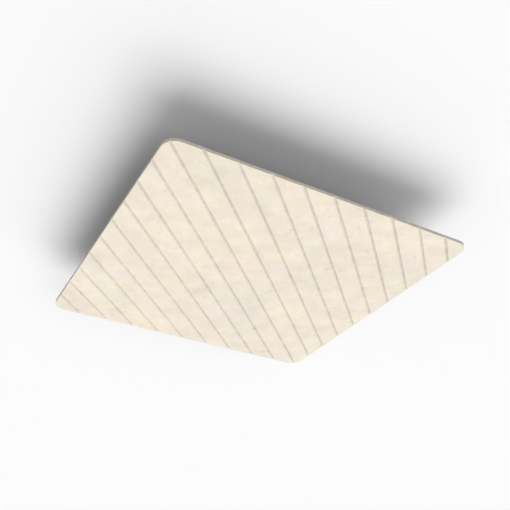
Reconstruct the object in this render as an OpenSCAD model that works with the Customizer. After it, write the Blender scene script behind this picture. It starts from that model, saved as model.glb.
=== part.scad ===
// Square ceiling panel of felted board, hung face down below a ceiling.
// One board, cut to a rounded square, with straight V-grooves routed across the
// visible face at 45 degrees to its sides. The grooves run out through the edges.
// The origin is the middle of the flat back. The back is at z = 0 and faces up,
// and the grooved face looks down.

/* [Board] */
// Length of each side of the square
side = 1200; // [600:10:1500]
// Thickness of the board
board_t = 12; // [9:1:24]
// Radius of the four rounded corners
corner_r = 50; // [15:5:150]

/* [Grooves] */
// Step from one groove to the next, measured along a side of the board
groove_step = 120; // [60:5:300]
// Width of a groove at the visible face
groove_w = 10; // [4:0.5:14]
// Depth of a groove
groove_d = 4.5; // [2:0.25:6]
// Width of the flat that the cutter's tip leaves at the bottom of a groove
groove_root_w = 1; // [0.4:0.1:2]

/* [Hidden] */

felt_colour = [0.93, 0.89, 0.82];
arc_fn = 96;

// How far the cutter travels past each end of its groove, and how far below the
// visible face it starts, so that no skin is left
run_out = 10;
lead_in = 1;

// Height of the visible face
face_z = -board_t;

// Step from one groove to the next, square to the grooves
groove_pitch = groove_step / sqrt(2);

// How far the board reaches from its middle towards a rounded corner
corner_reach = side / sqrt(2) - corner_r * (sqrt(2) - 1);

// Grooves on each side of the one that runs from corner to corner: as many as
// lie wholly on the board
grooves_each_side = floor((corner_reach - groove_w) / groove_pitch);

// Outline of the board, seen from above
module outline() {
    straight = side - 2 * corner_r;
    square([straight, side], center = true);
    square([side, straight], center = true);
    for (x = [-1, 1], y = [-1, 1])
        translate([x, y] * straight / 2) circle(r = corner_r, $fn = arc_fn);
}

// The board before it is grooved
module blank() {
    translate([0, 0, face_z]) linear_extrude(board_t) outline();
}

// Section of the cutter. Its tip points along +Y, and Y = 0 is the visible face.
module cutter_section() {
    wall_run = (groove_w - groove_root_w) / 2;
    lead_w = groove_w + 2 * lead_in * wall_run / groove_d;
    polygon([
        [-lead_w / 2, -lead_in],
        [lead_w / 2, -lead_in],
        [groove_root_w / 2, groove_d],
        [-groove_root_w / 2, groove_d]
    ]);
}

// What one groove takes away: a straight cut along X, through the origin
module groove_cut(length) {
    rotate([90, 0, 90]) linear_extrude(length, center = true) cutter_section();
}

// Every groove, parallel to the diagonal from (-X, -Y) to (+X, +Y)
module groove_cuts() {
    translate([0, 0, face_z]) rotate(45)
        for (i = [-grooves_each_side : grooves_each_side]) {
            chord = sqrt(2) * side - 2 * abs(i) * groove_pitch;
            translate([0, i * groove_pitch, 0]) groove_cut(chord + 2 * run_out);
        }
}

module panel() {
    color(felt_colour) difference() {
        blank();
        groove_cuts();
    }
}

panel();
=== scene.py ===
from math import cos, pi, radians, sin, sqrt

import bmesh
import bpy
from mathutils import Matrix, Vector


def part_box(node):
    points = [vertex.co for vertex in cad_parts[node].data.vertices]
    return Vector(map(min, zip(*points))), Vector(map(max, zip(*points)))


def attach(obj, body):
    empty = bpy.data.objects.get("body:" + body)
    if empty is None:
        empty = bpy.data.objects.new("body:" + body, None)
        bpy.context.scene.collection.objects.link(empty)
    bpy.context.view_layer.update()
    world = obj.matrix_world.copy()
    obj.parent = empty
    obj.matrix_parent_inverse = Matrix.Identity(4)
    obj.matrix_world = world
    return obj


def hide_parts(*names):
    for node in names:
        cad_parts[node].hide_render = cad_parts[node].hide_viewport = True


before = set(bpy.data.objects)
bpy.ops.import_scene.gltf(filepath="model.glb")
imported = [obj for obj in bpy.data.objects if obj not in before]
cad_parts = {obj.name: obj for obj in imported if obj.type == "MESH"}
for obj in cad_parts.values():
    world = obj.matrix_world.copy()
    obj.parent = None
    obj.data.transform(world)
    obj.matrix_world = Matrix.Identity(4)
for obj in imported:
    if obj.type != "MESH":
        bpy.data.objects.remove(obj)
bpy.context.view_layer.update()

# Everything is in metres, with the flat back of the board at z = 0 and the grooved face below it.

# The board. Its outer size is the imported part's own.
board_low, board_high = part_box("panel")
SIDE = board_high.x - board_low.x
THICKNESS = board_high.z - board_low.z
FACE_Z = board_low.z
BACK_Z = board_high.z
CORNER_RADIUS = 0.050
CORNER_STEPS = 32

# The grooves, routed at 45 degrees to the sides. Their step is measured along a side of the board.
GROOVE_STEP = 0.120
GROOVE_WIDTH = 0.010
GROOVE_DEPTH = 0.0045
GROOVE_ROOT = 0.001
GROOVE_PITCH = GROOVE_STEP / sqrt(2)
ACROSS_GROOVES = Vector((-1, 1, 0)).normalized()

# As many grooves on each side of the middle one as lie wholly on the board
CORNER_REACH = SIDE / sqrt(2) - CORNER_RADIUS * (sqrt(2) - 1)
GROOVES_EACH_SIDE = int((CORNER_REACH - GROOVE_WIDTH) / GROOVE_PITCH)

# The edges that the cutters leave, the arrises, are a little soft
ARRIS = 0.0004
ARRIS_STEPS = 3
# An edge that turns more than this is an arris
SHARP_CORNER = radians(30)
# An edge that turns less than this is a step of a curve
CURVE_STEP = radians(5)

# How near two points are the same, while the mesh is cut and once it is finished
CUT_TOLERANCE = 1e-6
MERGE_DISTANCE = 1e-5

# A face is upright if its normal's vertical part is less than this
UPRIGHT = 0.2

# The board's three felts, in the order of its material slots: on its skins, in its grooves, on its sides
PRESSED, ROUTED, SAWN = range(3)

# Felt colours under plain light; the darker groove and side felts are partly painted shade
PRESSED_COLOUR = (0.877, 0.794, 0.668)
ROUTED_COLOUR_AND_SHADE = (0.736, 0.664, 0.562)
SAWN_COLOUR_AND_SHADE = (0.744, 0.695, 0.605)

# The middle of the range of every noise
NOISE_MIDDLE = 0.5

# How the felt's colour varies: patch size, seed, and the change from one end of the patches' range to the
# other, in red, green and blue
CLOUD_LAYERS = (
    (0.500, 0.5, (0.07, 0.06, 0.01)),
    (0.200, 1.0, (0.14, 0.14, 0.14)),
    (0.180, 1.5, (0.08, -0.03, 0.03)),
    (0.150, 2.0, (0.03, 0.02, -0.11)),
    (0.080, 2.5, (0.08, -0.03, 0.02)),
    (0.075, 3.0, (0.03, 0.02, -0.11)),
    (0.065, 4.0, (0.23, 0.23, 0.23)),
    (0.026, 5.0, (0.05, 0.05, 0.05)),
)
# Felt that was cut varies in these ways too
CUT_LAYERS = (
    (0.022, 7.0, (0.36, 0.36, 0.34)),
    (0.010, 7.5, (0.25, 0.25, 0.25)),
)
# A tuft and a dimple: spacing, seed, the patch value at which one starts, height and change of shade
# A tuft's lighter colour is partly its own tone, partly a painted highlight; a dimple's darker colour
# partly painted shade
DIMPLES = (
    (0.022, 11.0, 0.61, 0.0007, 0.12),
    (0.026, 12.0, 0.60, -0.0011, -0.15),
)
# From the patch value at which one starts to the one at which it is full
DIMPLE_SOFTNESS = 0.26

# Fibres: the ways they run, in degrees, their length, width and depth, and how high they stand
FIBRE_TURNS = (4, 41, 77, 112, 149)
FIBRE_SIZE = (0.014, 0.0009, 0.0006)
FIBRE_HEIGHT = 0.00025
FIBRE_SEED = 20.0
# The mean value of their tangle
TANGLE_MEAN = 0.60
# How much the fibres change the shade, where the felt was pressed and where it was cut
PRESSED_FIBRES = 0.30
CUT_FIBRES = 0.45
# Fibres wander: over what distance, and how far
WANDER_SIZE = 0.025
WANDER_REACH = (0.012, 0.012, 0.002)
# The fuzz of loose fibre ends, and the board's gentle cockle: size, seed and height
FUZZ = (0.0011, 30.0, 0.00012)
COCKLE = (0.024, 40.0, 0.0011)

# How felt takes the light
FELT_ROUGHNESS = 0.95
FELT_SPECULAR = 0.2
FELT_SHEEN = 0.05
FELT_SHEEN_ROUGHNESS = 0.6

# The room, and the white that is seen beyond it
CEILING_GAP = 0.190
FLOOR_Z = -3.0
ROOM_REACH = 80.0
CEILING_WHITE = (0.97, 0.97, 0.97)
FLOOR_WHITE = (0.735, 0.735, 0.735)
FAR_WHITE = 0.971
# The card on the panel's back
CARD_GREY = (0.02, 0.02, 0.02)
CARD_INSET = 0.001
CARD_GAP = 0.001

# Lamps, all very far off: name, strength, tilt from straight down, heading, and how wide it looks.
# A strength of 1 lights a face turned to the lamp so that its colour shows as written.
LAMPS_BELOW = (
    ("lamp_below", 0.454, 22, 45, 62),
    ("lamp_far_side", 0.459, 74, 46, 70),
    ("lamp_near_side", 0.261, 60, -91, 42),
    ("lamp_left_side", 0.055, 86, 175, 30),
)
LAMP_ABOVE = ("lamp_above", 1.103, 155, 45, 20)
LIGHT_AROUND = 0.306

# The camera, below the panel and in front of its nearest corner
CAMERA_AT = Vector((-1.1451, -2.0941, -1.4379))
CAMERA_TILT = radians(32.787)
CAMERA_TURN = radians(29.427)
CAMERA_LENS = 50
CAMERA_SENSOR = 36


def object_of(bm, name, *materials):
    """The mesh that was modelled in bm, as an object in the scene."""
    mesh = bpy.data.meshes.new(name)
    bm.to_mesh(mesh)
    bm.free()
    for material in materials:
        mesh.materials.append(material)
    thing = bpy.data.objects.new(name, mesh)
    bpy.context.collection.objects.link(thing)
    return thing


def rounded_square(side, radius, z):
    """A level face at height z: a square with rounded corners."""
    bm = bmesh.new()
    bmesh.ops.create_grid(bm, x_segments=1, y_segments=1, size=side / 2)
    bmesh.ops.translate(bm, verts=bm.verts, vec=(0, 0, z))
    bmesh.ops.bevel(
        bm,
        geom=bm.verts[:],
        offset=radius,
        offset_type="OFFSET",
        segments=CORNER_STEPS,
        profile=0.5,
        affect="VERTICES",
        material=-1,
    )
    return bm


def score_grooves(bm):
    """Cuts the face along both lips and both root lines of every groove."""
    for i in range(-GROOVES_EACH_SIDE, GROOVES_EACH_SIDE + 1):
        for line in (-GROOVE_WIDTH / 2, -GROOVE_ROOT / 2, GROOVE_ROOT / 2, GROOVE_WIDTH / 2):
            bmesh.ops.bisect_plane(
                bm,
                geom=bm.verts[:] + bm.edges[:] + bm.faces[:],
                dist=CUT_TOLERANCE,
                plane_co=ACROSS_GROOVES * (i * GROOVE_PITCH + line),
                plane_no=ACROSS_GROOVES,
            )


def groove_rise(co):
    """How deep the nearest groove is at this point of the face."""
    across = co.dot(ACROSS_GROOVES)
    from_middle = abs(across - round(across / GROOVE_PITCH) * GROOVE_PITCH)
    up_the_wall = (GROOVE_WIDTH / 2 - from_middle) / ((GROOVE_WIDTH - GROOVE_ROOT) / 2)
    return GROOVE_DEPTH * min(max(up_the_wall, 0), 1)


def felt_of(face):
    """The felt that a face shows. The softened arrises take the grooves' felt, whose darker colour is
    partly painted shade.
    """
    if abs(face.normal.z) < UPRIGHT:
        return SAWN
    z = face.calc_center_median().z
    return PRESSED if min(abs(z - FACE_Z), abs(z - BACK_Z)) < MERGE_DISTANCE else ROUTED


def build_board():
    """The board as a closed solid: its grooves run out through the edges."""
    bm = rounded_square(SIDE, CORNER_RADIUS, FACE_Z)
    score_grooves(bm)
    raised = bmesh.ops.extrude_face_region(bm, geom=bm.faces[:])
    back_verts = [g for g in raised["geom"] if isinstance(g, bmesh.types.BMVert)]
    bmesh.ops.translate(bm, verts=back_verts, vec=(0, 0, THICKNESS))

    # The back has no grooves, so it is one face
    back = [f for f in bm.faces if all(abs(v.co.z - BACK_Z) < CUT_TOLERANCE for v in f.verts)]
    bmesh.ops.dissolve_faces(bm, faces=back, use_verts=False)

    # Inside the grooves the face rises into the board
    for vert in bm.verts:
        if abs(vert.co.z - FACE_Z) < CUT_TOLERANCE:
            vert.co.z += groove_rise(vert.co)
    bmesh.ops.recalc_face_normals(bm, faces=bm.faces)

    # The arrises are softened
    arrises = [e for e in bm.edges if e.is_convex and e.calc_face_angle(0) > SHARP_CORNER]
    softened = bmesh.ops.bevel(
        bm,
        geom=arrises,
        offset=ARRIS,
        offset_type="OFFSET",
        segments=ARRIS_STEPS,
        profile=0.5,
        affect="EDGES",
        clamp_overlap=True,
        material=-1,
    )

    # Only the arrises and the rounded corners are shaded as curves
    curved = {edge for face in softened["faces"] for edge in face.edges}
    for edge in bm.edges:
        edge.smooth = edge in curved or edge.calc_face_angle(0) < CURVE_STEP
    bmesh.ops.remove_doubles(bm, verts=bm.verts, dist=MERGE_DISTANCE)
    for face in bm.faces:
        face.smooth = True
        face.material_index = felt_of(face)
    return bm


def new_material(name):
    """An empty material, its node tree and its output node."""
    material = bpy.data.materials.new(name)
    material.use_nodes = True
    tree = material.node_tree
    tree.nodes.clear()
    return material, tree, tree.nodes.new("ShaderNodeOutputMaterial")


def feed(tree, socket, value):
    """Gives an input a value, or links it to the output that makes one."""
    if isinstance(value, bpy.types.NodeSocket):
        tree.links.new(value, socket)
    else:
        socket.default_value = value


def combine(tree, operation, *values):
    """One step of arithmetic on numbers or on vectors, component by component."""
    vectors = any(isinstance(v, tuple) or getattr(v, "type", "") in ("VECTOR", "RGBA") for v in values)
    step = tree.nodes.new("ShaderNodeVectorMath" if vectors else "ShaderNodeMath")
    step.operation = operation
    for socket, value in zip(step.inputs, values):
        feed(tree, socket, value)
    return step.outputs["Vector" if vectors else "Value"]


def spread(tree, value):
    """One number as a vector of three."""
    three = tree.nodes.new("ShaderNodeCombineXYZ")
    for socket in three.inputs:
        feed(tree, socket, value)
    return three.outputs["Vector"]


def clouds(tree, where, size, seed, detail=2.0):
    """Soft random patches about this size. Their values lie around 0.5."""
    noise = tree.nodes.new("ShaderNodeTexNoise")
    noise.noise_dimensions = "4D"
    feed(tree, noise.inputs["Vector"], where)
    noise.inputs["W"].default_value = seed
    noise.inputs["Scale"].default_value = 1 / size
    noise.inputs["Detail"].default_value = detail
    return noise.outputs["Fac"]


def above(tree, value, low, high):
    """0 below low, 1 above high, with a soft step between."""
    step = tree.nodes.new("ShaderNodeMapRange")
    step.interpolation_type = "SMOOTHSTEP"
    feed(tree, step.inputs["Value"], value)
    step.inputs["From Min"].default_value = low
    step.inputs["From Max"].default_value = high
    return step.outputs["Result"]


def wander(tree, where):
    """The place, shifted a little this way and that, so that what it places isn't straight."""
    bend = tree.nodes.new("ShaderNodeTexNoise")
    feed(tree, bend.inputs["Vector"], where)
    bend.inputs["Scale"].default_value = 1 / WANDER_SIZE
    offset = combine(tree, "SUBTRACT", bend.outputs["Color"], (NOISE_MIDDLE,) * 3)
    return combine(tree, "MULTIPLY_ADD", offset, WANDER_REACH, where)


def strands(tree, where, turn, seed):
    """Fibres that all run one way."""
    along = tree.nodes.new("ShaderNodeMapping")
    along.vector_type = "TEXTURE"
    feed(tree, along.inputs["Vector"], where)
    along.inputs["Rotation"].default_value = (0, 0, radians(turn))
    along.inputs["Scale"].default_value = FIBRE_SIZE
    return clouds(tree, along.outputs["Vector"], 1.0, seed, detail=1.0)


def tangle_of_fibres(tree, where):
    """Fibres that run several ways, with the most raised one on top."""
    tangle, *others = [strands(tree, where, turn, FIBRE_SEED + i) for i, turn in enumerate(FIBRE_TURNS)]
    for other in others:
        tangle = combine(tree, "MAXIMUM", tangle, other)
    return tangle


def felt(name, colour, cloud_layers, fibre_shade):
    """Needled felt: cloudy in colour, dimpled, and made of tangled fibres that lie along the board."""
    material, tree, out = new_material(name)
    where = tree.nodes.new("ShaderNodeTexCoord").outputs["Object"]
    bent = wander(tree, where)
    tangle = tangle_of_fibres(tree, bent)

    # The shade starts at 1, and each thing that varies adds to it or takes from it
    shade = (1.0, 1.0, 1.0)
    for size, seed, change in cloud_layers:
        patch = combine(tree, "SUBTRACT", clouds(tree, where, size, seed), NOISE_MIDDLE)
        shade = combine(tree, "MULTIPLY_ADD", spread(tree, patch), change, shade)
    lie = combine(tree, "SUBTRACT", tangle, TANGLE_MEAN)
    shade = combine(tree, "MULTIPLY_ADD", spread(tree, lie), (fibre_shade,) * 3, shade)

    # The relief is a sum of heights, in metres
    height = combine(tree, "MULTIPLY", tangle, FIBRE_HEIGHT)
    for size, seed, rise in (FUZZ, COCKLE):
        height = combine(tree, "MULTIPLY_ADD", clouds(tree, where, size, seed), rise, height)

    # Tufts and dimples change both the shade and the relief
    # A tuft's lighter colour is partly a painted highlight, and a dimple's darker colour partly painted
    # shade in its hollow
    for size, seed, low, rise, change in DIMPLES:
        dimple = above(tree, clouds(tree, bent, size, seed, detail=1.0), low, low + DIMPLE_SOFTNESS)
        shade = combine(tree, "MULTIPLY_ADD", spread(tree, dimple), (change,) * 3, shade)
        height = combine(tree, "MULTIPLY_ADD", dimple, rise, height)
    relief = tree.nodes.new("ShaderNodeBump")
    relief.inputs["Distance"].default_value = 1.0
    feed(tree, relief.inputs["Height"], height)

    surface = tree.nodes.new("ShaderNodeBsdfPrincipled")
    feed(tree, surface.inputs["Base Color"], combine(tree, "MULTIPLY", shade, colour))
    feed(tree, surface.inputs["Normal"], relief.outputs["Normal"])
    surface.inputs["Roughness"].default_value = FELT_ROUGHNESS
    surface.inputs["Specular IOR Level"].default_value = FELT_SPECULAR
    surface.inputs["Sheen Weight"].default_value = FELT_SHEEN
    surface.inputs["Sheen Roughness"].default_value = FELT_SHEEN_ROUGHNESS
    tree.links.new(surface.outputs["BSDF"], out.inputs["Surface"])
    return material


def build_panel():
    """The grooved felt board."""
    cut_layers = CLOUD_LAYERS + CUT_LAYERS
    pressed = felt("felt_skin", PRESSED_COLOUR, CLOUD_LAYERS, PRESSED_FIBRES)
    # The groove and side felts' darker colours are partly the cut felt's own tone, partly painted shade
    routed = felt("felt_in_grooves_with_painted_shade", ROUTED_COLOUR_AND_SHADE, cut_layers, CUT_FIBRES)
    sawn = felt("felt_on_sides_with_painted_shade", SAWN_COLOUR_AND_SHADE, cut_layers, CUT_FIBRES)
    panel = object_of(build_board(), "felt_board", pressed, routed, sawn)

    # Flat faces are shaded flat right up to their rounded edges
    shading = panel.modifiers.new("flats_stay_flat", "WEIGHTED_NORMAL")
    shading.weight = 100
    shading.keep_sharp = True
    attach(panel, "root")
    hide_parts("panel")


def wall_paint(name, colour, one_sided=False):
    """Matte paint. A one-sided sheet isn't there for what looks at its back."""
    material, tree, out = new_material(name)
    paint = tree.nodes.new("ShaderNodeBsdfDiffuse")
    paint.inputs["Color"].default_value = (*colour, 1)
    surface = paint.outputs["BSDF"]
    if one_sided:
        side = tree.nodes.new("ShaderNodeNewGeometry")
        clear = tree.nodes.new("ShaderNodeBsdfTransparent")
        either = tree.nodes.new("ShaderNodeMixShader")
        tree.links.new(side.outputs["Backfacing"], either.inputs["Fac"])
        tree.links.new(surface, either.inputs[1])
        tree.links.new(clear.outputs["BSDF"], either.inputs[2])
        surface = either.outputs["Shader"]
    tree.links.new(surface, out.inputs["Surface"])
    return material


def level_sheet(name, z, material):
    """A room-wide level sheet, facing up. Shadows fall on it, but it casts no shadow and no light."""
    bm = bmesh.new()
    bmesh.ops.create_grid(bm, x_segments=1, y_segments=1, size=ROOM_REACH)
    bmesh.ops.translate(bm, verts=bm.verts, vec=(0, 0, z))
    sheet = object_of(bm, name, material)
    sheet.visible_shadow = False
    sheet.visible_diffuse = False
    return sheet


def build_room():
    """A pale ceiling over the panel and a pale floor far below it."""
    ceiling_paint = wall_paint("ceiling_paint", CEILING_WHITE, one_sided=True)
    ceiling = level_sheet("ceiling", CEILING_GAP, ceiling_paint)
    ceiling.data.flip_normals()
    level_sheet("floor", FLOOR_Z, wall_paint("floor_paint", FLOOR_WHITE))

    # An unseen dark card on the back stops it lighting the ceiling, which keeps the shadow dark
    bm = rounded_square(SIDE - 2 * CARD_INSET, CORNER_RADIUS - CARD_INSET, BACK_Z + CARD_GAP)
    card = object_of(bm, "card_on_back", wall_paint("card_grey", CARD_GREY))
    card.visible_camera = False
    card.visible_shadow = False
    card.visible_glossy = False
    card.visible_transmission = False


def far_lamp(name, strength, tilt, heading, width):
    """A lamp so far off that its light is the same all over. It looks this many degrees wide."""
    lean = sin(radians(tilt))
    towards = Vector((lean * cos(radians(heading)), lean * sin(radians(heading)), -cos(radians(tilt))))
    data = bpy.data.lights.new(name, "SUN")
    data.energy = pi * strength
    data.angle = radians(width)
    lamp = bpy.data.objects.new(name, data)
    lamp.rotation_euler = towards.to_track_quat("Z", "Y").to_euler()
    bpy.context.collection.objects.link(lamp)


def light_room():
    """The lamps, even light from all around, and plain white where the room is looked at or mirrored."""
    for lamp in (*LAMPS_BELOW, LAMP_ABOVE):
        far_lamp(*lamp)
    world = bpy.data.worlds.new("room_light")
    bpy.context.scene.world = world
    world.use_nodes = True
    tree = world.node_tree
    tree.nodes.clear()
    path = tree.nodes.new("ShaderNodeLightPath")
    looked_at = combine(tree, "MAXIMUM", path.outputs["Is Camera Ray"], path.outputs["Is Glossy Ray"])
    looked_at = combine(tree, "MAXIMUM", looked_at, path.outputs["Is Transmission Ray"])
    strength = tree.nodes.new("ShaderNodeMix")
    strength.inputs["A"].default_value = LIGHT_AROUND
    strength.inputs["B"].default_value = FAR_WHITE
    back = tree.nodes.new("ShaderNodeBackground")
    back.inputs["Color"].default_value = (1, 1, 1, 1)
    out = tree.nodes.new("ShaderNodeOutputWorld")
    tree.links.new(looked_at, strength.inputs["Factor"])
    tree.links.new(strength.outputs["Result"], back.inputs["Strength"])
    tree.links.new(back.outputs["Background"], out.inputs["Surface"])


def place_camera():
    """The camera, looking up at the panel."""
    data = bpy.data.cameras.new("camera")
    data.lens = CAMERA_LENS
    data.sensor_width = CAMERA_SENSOR
    camera = bpy.data.objects.new("camera", data)
    camera.location = CAMERA_AT
    camera.rotation_euler = (pi / 2 + CAMERA_TILT, 0, -CAMERA_TURN)
    bpy.context.collection.objects.link(camera)
    bpy.context.scene.camera = camera


bpy.context.scene.view_settings.view_transform = "Standard"
place_camera()
build_panel()
build_room()
light_room()
